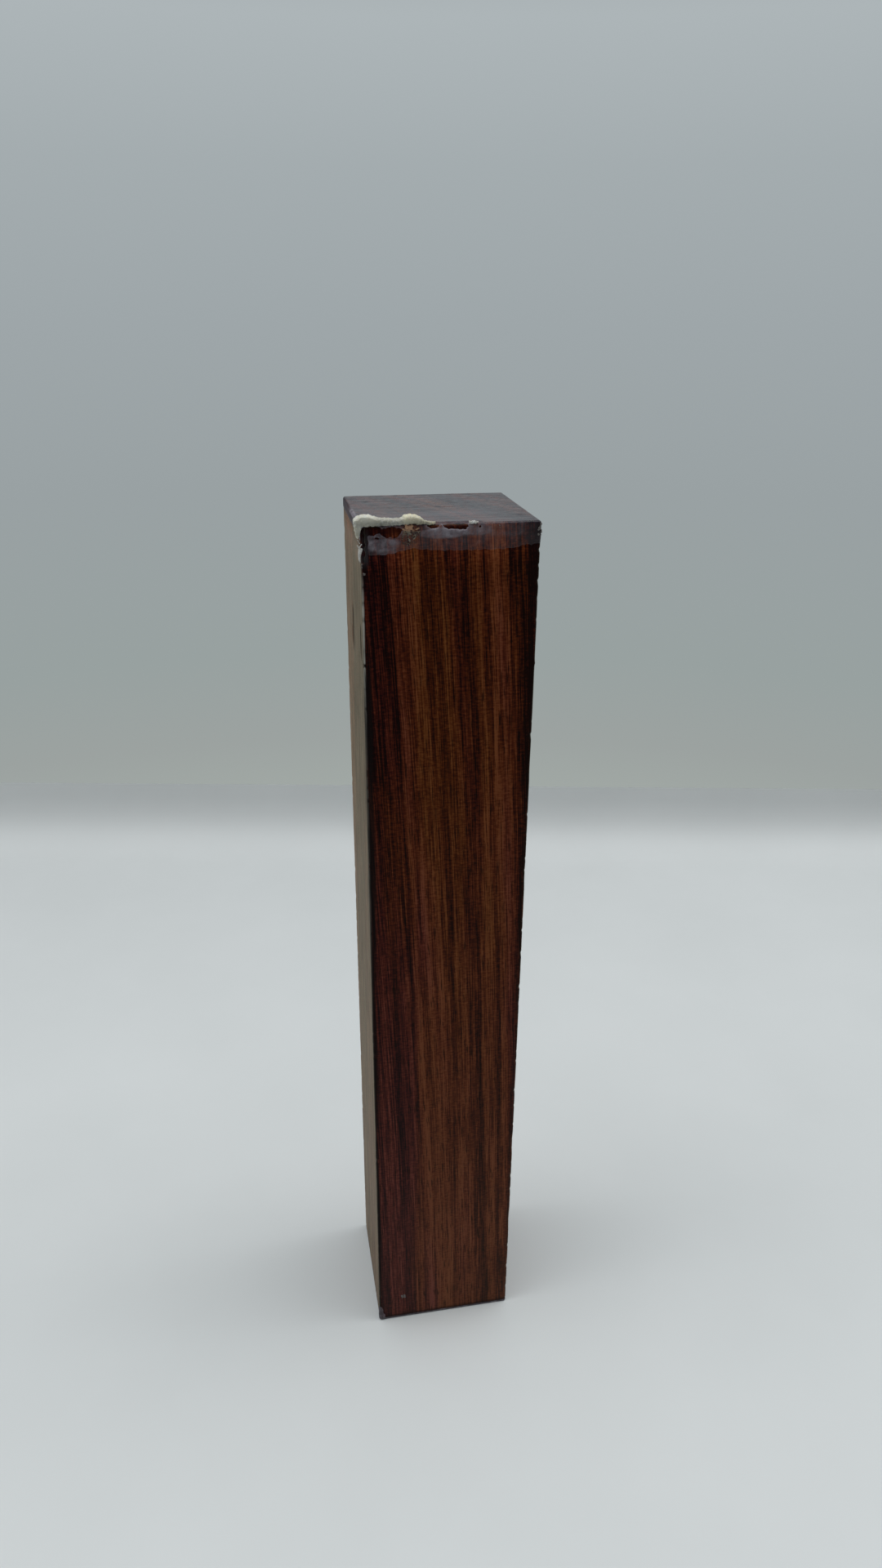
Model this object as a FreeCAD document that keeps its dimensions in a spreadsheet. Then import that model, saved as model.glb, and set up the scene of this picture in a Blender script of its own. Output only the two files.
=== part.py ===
import FreeCAD, Part
import os

import Sketcher

# Rosewood blank for a dip pen's straight holder: a square-sawn stick standing on end, both ends sealed
# with wax, and a thick bead of the same wax along the front edge of the top.
#
# Millimetres. +Z is up, along the grain. The origin is the centre of the underside. The front face, with
# the bead, is at -Y, and its left arris, with the bead's run, is at -X.

doc = FreeCAD.newDocument("pen_holder_blank")

# ---- driving dimensions -------------------------------------------------------------------------------

CELLS = [
    ("blank_width", 25.0),      # wood, left to right
    ("blank_depth", 23.5),      # wood, front to back
    ("blank_height", 152.4),    # over both films of wax
    ("arris_radius", 0.3),      # wear of the long arrises
    ("chip_width", 0.9),        # chip out of the front left arris, along the front
    ("chip_depth", 0.5),        # and along the left side
    ("chip_height", 5.0),       # down from the wood's top end
    ("end_film", 0.3),          # wax over each end
    ("side_film", 0.15),        # wax on the sides, below the top end
    ("band_height", 4.2),       # how far the top's wax comes down the sides
    ("smear_height", 3.4),      # smear of wax up the front left corner of the base
    ("smear_width", 1.1),
    ("smear_film", 0.12),
    ("bead_height", 1.4),       # wax bead, above the top end's film
    ("bead_width", 1.5),        # front to back
    ("bead_length", 11.2),      # along the front edge
    ("bead_overhang", 0.9),     # past the left side
    ("bead_setback", 0.55),     # the bead's centre line, behind the front
    ("run_drop", 2.2),          # the run's length, down the left arris
    ("run_radius", 0.52),
    ("fleck_size", 0.5),        # half the length of a middling fleck
    ("crumb_size", 0.28),       # half the length of a middling crumb of sawdust
]
sheet = doc.addObject("Spreadsheet::Sheet", "sizes")
for row, (alias, value) in enumerate(CELLS, start=1):
    sheet.set("A%d" % row, alias)
    sheet.set("B%d" % row, str(value))
    sheet.setAlias("B%d" % row, alias)
doc.recompute()


def size(alias):
    """A cell's value, for the places of small pieces and for checks."""
    return float(getattr(sheet, alias))


# ---- helpers ------------------------------------------------------------------------------------------

def new_body(label):
    body = doc.addObject("PartDesign::Body", label)
    body.Label = label
    return body


def new_sketch(body, name, role, offset="0"):
    """An empty sketch on the body's own origin plane; offset is a sheet expression along the normal."""
    sketch = body.newObject("Sketcher::SketchObject", name)
    plane = [item for item in body.Origin.OriginFeatures if item.Role == role][0]
    sketch.AttachmentSupport = (plane, "")
    sketch.MapMode = "FlatFace"
    sketch.setExpression("AttachmentOffset.Base.z", offset)
    return sketch


def add_outline(sketch, points):
    """Join 2-D points into a closed outline of straight lines."""
    corners = [FreeCAD.Vector(x, y, 0) for x, y in points]
    count = len(corners)
    lines = [sketch.addGeometry(Part.LineSegment(corners[i], corners[(i + 1) % count]))
             for i in range(count)]
    for i in range(count):
        sketch.addConstraint(Sketcher.Constraint("Coincident", lines[i], 2, lines[(i + 1) % count], 1))


def bind(sketch, name, expression, *constraint):
    """Add a dimension to the sketch and tie it to a sheet expression."""
    index = sketch.addConstraint(Sketcher.Constraint(*constraint, 1.0))
    sketch.renameConstraint(index, name)
    sketch.setExpression("Constraints." + name, expression)


def add_rectangle(sketch, width, depth):
    """A rectangle centred on the sketch's origin; width and depth are sheet expressions."""
    add_outline(sketch, [(-10, -10), (10, -10), (10, 10), (-10, 10)])
    for line in (0, 2):
        sketch.addConstraint(Sketcher.Constraint("Horizontal", line))
    for line in (1, 3):
        sketch.addConstraint(Sketcher.Constraint("Vertical", line))
    sketch.addConstraint(Sketcher.Constraint("Symmetric", 0, 1, 2, 1, -1, 1))
    bind(sketch, "width", width, "DistanceX", 0, 1, 0, 2)
    bind(sketch, "depth", depth, "DistanceY", 1, 1, 1, 2)


def add_pad(body, name, sketch, length):
    pad = body.newObject("PartDesign::Pad", name)
    pad.Profile = sketch
    pad.setExpression("Length", length)
    sketch.Visibility = False
    doc.recompute()
    return pad


def add_pocket(body, name, sketch, length, reverse):
    """Cut the sketch into the body, and make sure that the cut removed something."""
    before = body.Shape.Volume
    pocket = body.newObject("PartDesign::Pocket", name)
    pocket.Profile = sketch
    pocket.Reversed = reverse
    pocket.setExpression("Length", length)
    doc.recompute()
    if not body.Shape.Volume < before - 1e-4:
        raise RuntimeError("%s cuts nothing" % name)
    return pocket


def add_arris_fillet(body, base, radius):
    """Round the body's four long arrises, the straight edges that run along Z."""
    edges = []
    for number, edge in enumerate(base.Shape.Edges, start=1):
        start, end = (vertex.Point for vertex in edge.Vertexes)
        if abs((end - start).normalize().z) > 0.99:
            edges.append("Edge%d" % number)
    fillet = body.newObject("PartDesign::Fillet", "arris_wear")
    fillet.Base = (base, edges)
    fillet.setExpression("Radius", radius)
    doc.recompute()
    return fillet


def cut_by(label, base, tool):
    """The named piece: base less the space that tool already fills."""
    cut = doc.addObject("Part::Cut", label)
    cut.Label = label
    cut.Base = base
    cut.Tool = tool
    doc.recompute()
    return cut


# ---- wood block ---------------------------------------------------------------------------------------

def make_wood_block():
    body = new_body("wood_block")
    section = new_sketch(body, "section", "XY_Plane", "sizes.end_film")
    add_rectangle(section, "sizes.blank_width", "sizes.blank_depth")
    stick = add_pad(body, "stick", section, "sizes.blank_height - 2 * sizes.end_film")
    add_arris_fillet(body, stick, "sizes.arris_radius")

    chip = new_sketch(body, "chip_outline", "XY_Plane", "sizes.blank_height - sizes.end_film")
    left, front = -size("blank_width") / 2, -size("blank_depth") / 2
    add_outline(chip, [(left, front), (left + size("chip_width"), front), (left, front + size("chip_depth"))])
    chip.addConstraint(Sketcher.Constraint("Horizontal", 0))
    chip.addConstraint(Sketcher.Constraint("Vertical", 2))
    bind(chip, "corner_x", "-sizes.blank_width / 2", "DistanceX", -1, 1, 0, 1)
    bind(chip, "corner_y", "-sizes.blank_depth / 2", "DistanceY", -1, 1, 0, 1)
    bind(chip, "along_front", "sizes.chip_width", "DistanceX", 0, 1, 0, 2)
    bind(chip, "along_side", "sizes.chip_depth", "DistanceY", 2, 2, 2, 1)
    add_pocket(body, "arris_chip", chip, "sizes.chip_height", reverse=False)
    return body


# ---- wax over the top end -----------------------------------------------------------------------------

# Lower edge of the band on each side, as (share of the half width or depth, drop below the top). Shares run
# left to right on the front and the back, and front to back on the left and the right.
BAND_EDGES = {
    "front": [(-1.2, 3.9), (-0.8, 4.1), (-0.55, 3.6), (-0.43, 3.3), (-0.2, 3.6), (0.6, 3.7), (0.8, 3.3),
              (1.2, 3.1)],
    "back": [(-1.2, 1.8), (-0.5, 2.1), (0.0, 1.9), (0.6, 2.3), (1.2, 2.4)],
    "left": [(-1.2, 3.9), (-0.8, 3.5), (-0.4, 2.1), (0.0, 1.6), (0.5, 1.7), (1.2, 1.8)],
    "right": [(-1.2, 3.1), (-0.6, 3.3), (0.0, 2.8), (0.5, 2.7), (1.2, 2.4)],
}
BAND_CUT = 1.0      # how deep each side's lower edge is cut, more than the film and the rounded arris
# Places on the front where the film has flaked off down to the wood: x, drop of the top, width, height.
FLAKED = [(-10.9, -0.2, 2.0, 1.6), (-8.4, -0.2, 2.6, 1.8), (-2.9, -0.2, 1.7, 0.7), (0.3, -0.2, 3.2, 1.0)]


def make_top_end_wax(block):
    dipped = new_body("dipped_end")
    outline = new_sketch(dipped, "section", "XY_Plane", "sizes.blank_height")
    add_rectangle(outline, "sizes.blank_width + 2 * sizes.side_film",
                  "sizes.blank_depth + 2 * sizes.side_film")
    pad = add_pad(dipped, "film", outline, "sizes.band_height")
    pad.Reversed = True
    doc.recompute()
    add_arris_fillet(dipped, pad, "sizes.arris_radius + sizes.side_film")

    top = size("blank_height")
    below = top - size("band_height") - 1.0
    front = "sizes.blank_depth / 2 + sizes.side_film"
    right = "sizes.blank_width / 2 + sizes.side_film"
    sides = (("front", "XZ_Plane", front, "blank_width", False),
             ("back", "XZ_Plane", "-(%s)" % front, "blank_width", True),
             ("left", "YZ_Plane", "-(%s)" % right, "blank_depth", True),
             ("right", "YZ_Plane", right, "blank_depth", False))
    for side, plane, offset, span, inwards_is_forwards in sides:
        edge = new_sketch(dipped, side + "_edge", plane, offset)
        curve = [(share * size(span) / 2, top - drop) for share, drop in BAND_EDGES[side]]
        add_outline(edge, [(curve[0][0], below)] + curve + [(curve[-1][0], below)])
        add_pocket(dipped, side + "_edge_cut", edge, str(BAND_CUT), reverse=inwards_is_forwards)

    flaked = new_sketch(dipped, "flaked", "XZ_Plane", front)
    for x, drop, width, height in FLAKED:
        left, right, high, low = x - width / 2, x + width / 2, top - drop, top - drop - height
        middle = high - 0.6 * height
        corners = [(left, middle), (x - 0.3 * width, low), (x + 0.25 * width, low + 0.15 * height),
                   (right, middle), (right - 0.1 * width, high), (left + 0.05 * width, high)]
        add_outline(flaked, corners)
    add_pocket(dipped, "flaked_off", flaked, "3 * sizes.side_film", reverse=False)
    return cut_by("top_end_wax", dipped, block)


# ---- wax under the bottom end -------------------------------------------------------------------------

def make_bottom_end_wax(block):
    dipped = new_body("dipped_base")
    outline = new_sketch(dipped, "section", "XY_Plane")
    add_rectangle(outline, "sizes.blank_width", "sizes.blank_depth")
    film = add_pad(dipped, "film", outline, "sizes.end_film")
    add_arris_fillet(dipped, film, "sizes.arris_radius")

    smear = new_sketch(dipped, "smear_outline", "XY_Plane")
    left, front, film_out = -size("blank_width") / 2, -size("blank_depth") / 2, size("smear_film")
    reach = size("smear_width")
    add_outline(smear, [(left - film_out, front + reach), (left - film_out, front), (left, front - film_out),
                        (left + reach, front - film_out), (left + reach, front + film_out),
                        (left + film_out, front + reach)])
    add_pad(dipped, "corner_smear", smear, "sizes.smear_height")
    return cut_by("bottom_end_wax", dipped, block)


# ---- wax bead and its run -----------------------------------------------------------------------------

# Along the bead from its left end: share of the length, share of the full height, share of the full width.
BEAD_SECTIONS = [(0.0, 0.5, 0.5), (0.06, 0.95, 0.95), (0.15, 1.0, 1.0), (0.22, 0.9, 0.95), (0.3, 0.7, 0.8),
                 (0.45, 0.65, 0.8), (0.56, 0.66, 0.8), (0.64, 0.9, 1.0), (0.76, 0.9, 1.0), (0.84, 0.5, 0.7),
                 (0.91, 0.22, 0.4), (1.0, 0.1, 0.2)]
# Down the run from the bead: share of the drop, share of the radius.
RUN_SECTIONS = [(-0.3, 0.8), (0.0, 1.0), (0.35, 0.75), (0.7, 0.4), (1.0, 0.2)]


def add_loft(body, name, sections):
    loft = body.newObject("PartDesign::AdditiveLoft", name)
    loft.Profile = sections[0]
    loft.Sections = sections[1:]
    loft.Ruled = False
    doc.recompute()
    return loft


def make_wax_bead(block, top_wax):
    seat = doc.addObject("Part::Fuse", "bead_seat")
    seat.Base = block
    seat.Tool = top_wax
    body = new_body("bead_and_run")
    top = size("blank_height")
    left, front = -size("blank_width") / 2, -size("blank_depth") / 2
    start = left - size("bead_overhang")

    # Each section is an ellipse across the bead, centred a third of its height above the film.
    sections = []
    for i, (along, tall, wide) in enumerate(BEAD_SECTIONS):
        place = "%.4f + %.4f * sizes.bead_length" % (start, along)
        section = new_sketch(body, "bead_section_%d" % i, "YZ_Plane", place)
        half_height = tall * size("bead_height") * 0.75
        half_width = wide * size("bead_width") / 2
        centre = FreeCAD.Vector(front + size("bead_setback"), top + half_height / 3, 0)
        major, minor = max(half_height, half_width), min(half_height, half_width)
        ellipse = Part.Ellipse(centre, major, minor)
        if half_height > half_width:
            ellipse.rotate(FreeCAD.Placement(centre, FreeCAD.Rotation(FreeCAD.Vector(0, 0, 1), 90),
                                             FreeCAD.Vector(0, 0, 0)))
        section.addGeometry(ellipse)
        sections.append(section)
    doc.recompute()
    add_loft(body, "bead", sections)

    # The run is round, and its centre line leans from the bead onto the arris.
    sections = []
    for i, (down, share) in enumerate(RUN_SECTIONS):
        place = "sizes.blank_height - %.4f * sizes.run_drop" % down
        section = new_sketch(body, "run_section_%d" % i, "XY_Plane", place)
        radius = share * size("run_radius")
        centre = FreeCAD.Vector(left - 0.5 * radius - 0.1, front + 0.1, 0)
        section.addGeometry(Part.Circle(centre, FreeCAD.Vector(0, 0, 1), radius))
        sections.append(section)
    doc.recompute()
    add_loft(body, "run", sections)
    return cut_by("wax_bead", body, seat)


# ---- flecks of wax and crumbs of sawdust --------------------------------------------------------------

# Each speck: its name, its centre's distance inwards from the left arris and back from the front, the end
# of the stick that it is near and the distance from that end, and its half sizes along x, y and z as
# shares of the middling size.
WAX_FLECKS = [
    ("arris_curl", -0.15, 0.3, "top", 2.6, 0.6, 0.5, 0.8),
    ("arris_fleck", -0.1, 0.35, "top", 4.1, 0.5, 0.5, 1.9),
    ("arris_speck", 0.6, 0.0, "top", 6.4, 0.4, 0.4, 0.8),
    ("right_corner_flake", 24.6, -0.15, "top", 1.2, 0.8, 0.4, 1.8),
    ("lifted_flake", 15.4, -0.1, "top", 0.0, 0.9, 0.45, 0.55),
]
BASE_FLECK = [
    ("base_fleck", 4.6, 0.0, "base", 5.5, 1.1, 0.4, 1.2),
]
SAWDUST_CRUMBS = [
    ("brown_crumb", 6.1, -0.15, "top", 1.0, 1.6, 1.0, 1.4),
    ("olive_crumb", 6.9, -0.15, "top", 1.7, 1.2, 1.0, 1.2),
    ("grey_crumb", 7.6, -0.15, "top", 1.4, 1.1, 0.9, 1.7),
    ("low_crumb", 6.6, -0.15, "top", 2.6, 1.0, 0.9, 1.0),
    ("side_crumb", 7.8, -0.15, "top", 2.4, 0.9, 0.9, 1.1),
]
SPECK_LEAN = 12.0   # degrees that each speck leans to the right, seen from the front


def make_specks(label, specks, unit, seats):
    """A group of separate small ellipsoids, each cut flat against whatever it is stuck to."""
    left, front = -size("blank_width") / 2, -size("blank_depth") / 2
    seat = doc.addObject("Part::MultiFuse", label + "_seat")
    seat.Shapes = seats
    stuck = []
    for name, inwards, back, end, distance, along_x, along_y, along_z in specks:
        lump = doc.addObject("Part::Ellipsoid", name + "_lump")
        lump.setExpression("Radius1", "%.3f * sizes.%s" % (along_z, unit))
        lump.setExpression("Radius2", "%.3f * sizes.%s" % (along_x, unit))
        lump.setExpression("Radius3", "%.3f * sizes.%s" % (along_y, unit))
        height = size("blank_height") - distance if end == "top" else distance
        lump.Placement.Base = FreeCAD.Vector(left + inwards, front + back, height)
        lump.Placement.Rotation = FreeCAD.Rotation(FreeCAD.Vector(0, 1, 0), SPECK_LEAN)
        speck = cut_by(name, lump, seat)
        if not 0.1 * lump.Shape.Volume < speck.Shape.Volume < 0.95 * lump.Shape.Volume:
            raise RuntimeError("%s is buried or floats" % name)
        stuck.append(speck)
    group = doc.addObject("Part::Compound", label)
    group.Label = label
    group.Links = stuck
    doc.recompute()
    return group


# ---- the assembly -------------------------------------------------------------------------------------

wood_block = make_wood_block()
top_end_wax = make_top_end_wax(wood_block)
bottom_end_wax = make_bottom_end_wax(wood_block)
wax_bead = make_wax_bead(wood_block, top_end_wax)
wax_flecks = make_specks("wax_flecks", WAX_FLECKS, "fleck_size", [wood_block, top_end_wax, wax_bead])
base_wax_fleck = make_specks("base_wax_fleck", BASE_FLECK, "fleck_size", [wood_block, bottom_end_wax])
stuck_sawdust = make_specks("stuck_sawdust", SAWDUST_CRUMBS, "crumb_size",
                            [wood_block, top_end_wax, wax_bead])
pieces = [wood_block, top_end_wax, bottom_end_wax, wax_bead, wax_flecks, base_wax_fleck, stuck_sawdust]

# ---- checks and export --------------------------------------------------------------------------------

doc.recompute()
for item in doc.Objects:
    if "Invalid" in item.State or "Error" in item.State:
        raise RuntimeError("%s did not build: %s" % (item.Label, item.State))
for piece in pieces:
    if piece.Shape.isNull() or not piece.Shape.isValid():
        raise RuntimeError("%s has no valid shape" % piece.Label)
for i, first in enumerate(pieces):
    for second in pieces[i + 1:]:
        shared = first.Shape.common(second.Shape).Volume
        if shared > 1e-4:
            raise RuntimeError("%s and %s overlap by %.4f mm3" % (first.Label, second.Label, shared))

os.makedirs("parts", exist_ok=True)
for piece in pieces:
    piece.Shape.exportStep("parts/%s.step" % piece.Label)
    box = piece.Shape.optimalBoundingBox()
    print("%-16s solids %d  volume %10.3f mm3  x %.2f..%.2f  y %.2f..%.2f  z %.2f..%.2f" % (
        piece.Label, len(piece.Shape.Solids), piece.Shape.Volume,
        box.XMin, box.XMax, box.YMin, box.YMax, box.ZMin, box.ZMax))
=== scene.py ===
import math
import random

import bmesh
import bpy
import numpy as np
from mathutils import Euler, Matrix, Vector, noise


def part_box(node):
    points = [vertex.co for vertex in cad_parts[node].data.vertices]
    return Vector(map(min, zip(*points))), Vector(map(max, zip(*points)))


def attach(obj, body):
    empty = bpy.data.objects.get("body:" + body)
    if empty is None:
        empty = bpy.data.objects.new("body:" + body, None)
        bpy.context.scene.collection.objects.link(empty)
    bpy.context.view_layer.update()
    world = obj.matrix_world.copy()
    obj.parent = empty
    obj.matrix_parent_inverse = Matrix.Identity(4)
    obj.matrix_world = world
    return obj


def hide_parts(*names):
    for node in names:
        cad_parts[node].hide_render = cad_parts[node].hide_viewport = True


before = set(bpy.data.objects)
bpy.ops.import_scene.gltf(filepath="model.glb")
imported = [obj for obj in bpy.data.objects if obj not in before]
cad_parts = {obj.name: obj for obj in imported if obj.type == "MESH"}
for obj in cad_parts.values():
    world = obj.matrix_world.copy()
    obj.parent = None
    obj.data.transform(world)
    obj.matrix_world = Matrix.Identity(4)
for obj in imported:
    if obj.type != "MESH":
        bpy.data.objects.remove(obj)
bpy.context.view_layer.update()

# A rosewood blank for a dip pen's holder, standing on end: the sawn stick, the wax over both of its ends,
# the thick wax bead on the front edge of the top, and the specks of wax and sawdust stuck to it.
#
# Shapes are worked out in millimetres in the row frame and written to the meshes in metres.

MM = 0.001


def box_mm(node):
    """A CAD node's lowest and highest corner, in millimetres."""
    low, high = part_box(node)
    return np.array(low) / MM, np.array(high) / MM


wood_low, wood_high = box_mm("wood_block")

HALF_X, HALF_Y = wood_high[0], wood_high[1]     # half the stick's width and depth
TOP, BASE = wood_high[2], wood_low[2]           # the wood's own ends
FILM_TOP = box_mm("top_end_wax")[1][2]          # top of the wax over the upper end
ARRIS = 0.32                                    # rounding of the stick's arrises
SEED = 11


# ---- node helper --------------------------------------------------------------------------------------

class Graph:
    """A thin wrapper that adds nodes and joins them; numbers and sockets are both fine as inputs."""

    def __init__(self, tree):
        self.tree = tree

    def node(self, kind, inputs=(), **settings):
        made = self.tree.nodes.new(kind)
        for name, value in settings.items():
            setattr(made, name, value)
        for name, value in dict(inputs).items():
            self.feed(made.inputs[name], value)
        return made

    def feed(self, socket, value):
        if isinstance(value, bpy.types.NodeSocket):
            self.tree.links.new(value, socket)
        else:
            socket.default_value = value

    def math(self, operation, a, b=0.0, clamp=False):
        made = self.tree.nodes.new("ShaderNodeMath")
        made.operation = operation
        made.use_clamp = clamp
        self.feed(made.inputs[0], a)
        self.feed(made.inputs[1], b)
        return made.outputs[0]

    def plus(self, a, b, clamp=False):
        return self.math("ADD", a, b, clamp)

    def minus(self, a, b):
        return self.math("SUBTRACT", a, b)

    def times(self, a, b, clamp=False):
        return self.math("MULTIPLY", a, b, clamp)

    def larger(self, a, b):
        return self.math("MAXIMUM", a, b)

    def distance(self, a, b):
        return self.math("ABSOLUTE", self.minus(a, b))

    def blend(self, mode, factor, a, b):
        made = self.tree.nodes.new("ShaderNodeMix")
        made.data_type = "RGBA"
        made.blend_type = mode
        self.feed(made.inputs["Factor"], factor)
        self.feed(made.inputs[6], a)
        self.feed(made.inputs[7], b)
        return made.outputs[2]

    def fit(self, value, low, high, to_low=0.0, to_high=1.0, smooth=False):
        kind = "SMOOTHSTEP" if smooth else "LINEAR"
        return self.node("ShaderNodeMapRange", {"Value": value, "From Min": low, "From Max": high,
                                                "To Min": to_low, "To Max": to_high},
                         interpolation_type=kind).outputs[0]

    def spread(self, value, to_low, to_high, reach=0.2):
        """The middle of a noise's range, reach to each side of a half, drawn out over the range given."""
        return self.fit(value, 0.5 - reach, 0.5 + reach, to_low, to_high)

    def ramp(self, value, stops):
        made = self.node("ShaderNodeValToRGB", {"Fac": value})
        band = made.color_ramp
        while len(band.elements) < len(stops):
            band.elements.new(0.5)
        for element, (place, colour) in zip(band.elements, stops):
            element.position = place
            element.color = (*colour, 1.0)
        return made.outputs[0]

    def curve(self, value, stops):
        """A smooth curve through any number of stops; both axes run from 0 to 1."""
        made = self.node("ShaderNodeFloatCurve", {"Value": value})
        line = made.mapping.curves[0]
        while len(line.points) < len(stops):
            line.points.new(0.5, 0.5)
        for point, stop in zip(line.points, stops):
            point.location = stop
        made.mapping.update()
        return made.outputs[0]

    def combine(self, x, y, z):
        return self.node("ShaderNodeCombineXYZ", {"X": x, "Y": y, "Z": z}).outputs[0]

    def noise(self, vector, scale=1.0, detail=2.0, roughness=0.5):
        return self.node("ShaderNodeTexNoise", {"Vector": vector, "Scale": scale, "Detail": detail,
                                                "Roughness": roughness}).outputs[0]

    def grey(self, value):
        return self.combine(value, value, value)

    def bump(self, height, distance, strength):
        return self.node("ShaderNodeBump", {"Height": height, "Distance": distance * MM,
                                            "Strength": strength}).outputs[0]

    def place(self):
        """The place in the row frame: the vector in metres, then x, y and z in millimetres."""
        vector = self.node("ShaderNodeTexCoord").outputs["Object"]
        parts = self.node("ShaderNodeSeparateXYZ", {0: vector}).outputs
        return vector, *(self.math("DIVIDE", part, MM) for part in parts)


def new_material(name):
    material = bpy.data.materials.new(name)
    material.use_nodes = True
    graph = Graph(material.node_tree)
    return material, graph, material.node_tree.nodes["Principled BSDF"]


# ---- rosewood -----------------------------------------------------------------------------------------

# Tone of the growth stripes by their distance in millimetres from the front left arris at the top:
# 0 is the near-black of the dark stripes, 1 the orange-brown of the light ones.
STRIPES = [(-9, 0.4), (-7.6, 0.6), (-6.6, 0.35), (-5.5, 0.2), (-4.5, 0.38), (-3.5, 0.3), (-2.6, 0.42),
           (-1.5, 0.22), (-0.6, 0.15), (0.6, 0.22), (1.4, 0.3), (2.3, 0.16), (3.3, 0.26), (3.9, 0.70),
           (4.9, 0.48), (5.9, 0.92), (6.6, 0.72), (7.1, 0.85), (8.0, 0.52), (9.0, 0.42), (10.0, 0.62),
           (11.0, 0.72), (12.0, 0.58), (13.0, 0.36), (13.8, 0.24), (14.4, 0.5), (15.1, 0.66), (15.9, 0.92),
           (16.9, 0.5), (17.9, 1.0), (19.0, 0.72), (20.0, 0.55), (20.9, 0.3), (22.0, 0.14), (23.6, 0.16),
           (25.0, 0.5), (26.6, 0.8), (28.2, 0.4), (30.2, 0.7), (32.0, 0.3), (34.0, 0.6)]
STRIPE_FROM, STRIPE_TO = STRIPES[0][0], STRIPES[-1][0]
DRIFT_START, DRIFT_REACH = 0.068, 420.0     # slope of the stripes at the top, and how slowly it eases off
RING_TILT, RING_BEND = 0.27, 0.006          # how the rings lean and curve from front to back
STRIPE_DEPTH = 0.74                         # how much of the range of tones the stripes span

# The wood's colour by its tone, near the top and near the base, where it is redder and more violet and
# carries painted light bounced and reflected up from the pale floor.
TONE_COLOURS = [(0.0, (0.006, 0.0007, 0.0010)), (0.16, (0.021, 0.0027, 0.0021)),
                (0.34, (0.050, 0.0076, 0.0026)), (0.52, (0.078, 0.0140, 0.0038)),
                (0.76, (0.128, 0.0310, 0.0095)), (1.0, (0.185, 0.0535, 0.0195))]
LOW_COLOURS = [(0.0, (0.015, 0.0050, 0.0065)), (0.35, (0.046, 0.0135, 0.0120)),
               (0.7, (0.092, 0.0240, 0.0165)), (1.0, (0.150, 0.0450, 0.0290))]
VIOLET_CAST, GOLDEN_CAST = (0.96, 0.86, 1.45, 1.0), (0.98, 1.10, 0.80, 1.0)     # multiplied into the wood
# Painted shade, near black, in the chip under the bead.
CHIP_SHADE_COLOUR = (0.018, 0.017, 0.018, 1.0)    # in the chip below the front left corner
PORE_COLOUR = (0.006, 0.0016, 0.0014, 1.0)
# Painted highlight on the front left arris, mixed with wax residue.
GLINT_AND_WAX_COLOUR = (0.36, 0.34, 0.30, 1.0)
# The dark seam down the lower front left arris, and painted contact shadow at the foot.
SEAM_AND_FOOT_SHADE_COLOUR = (0.007, 0.005, 0.005, 1.0)
# Painted sheen: the pale tan the left side shows at a grazing view.
LEFT_SHEEN_COLOUR = (0.145, 0.130, 0.100, 1.0)    # on the left side
# Painted shade inside the cracks.
CRACK_SHADE_COLOUR = (0.004, 0.002, 0.0015, 1.0)

# Short cracks high on the left side: y, lowest and highest z, depth.
CRACKS = [(1.2, 131.0, 138.6, 0.4), (2.6, 131.6, 135.0, 0.25), (-9.0, 132.5, 138.2, 0.3)]


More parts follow.
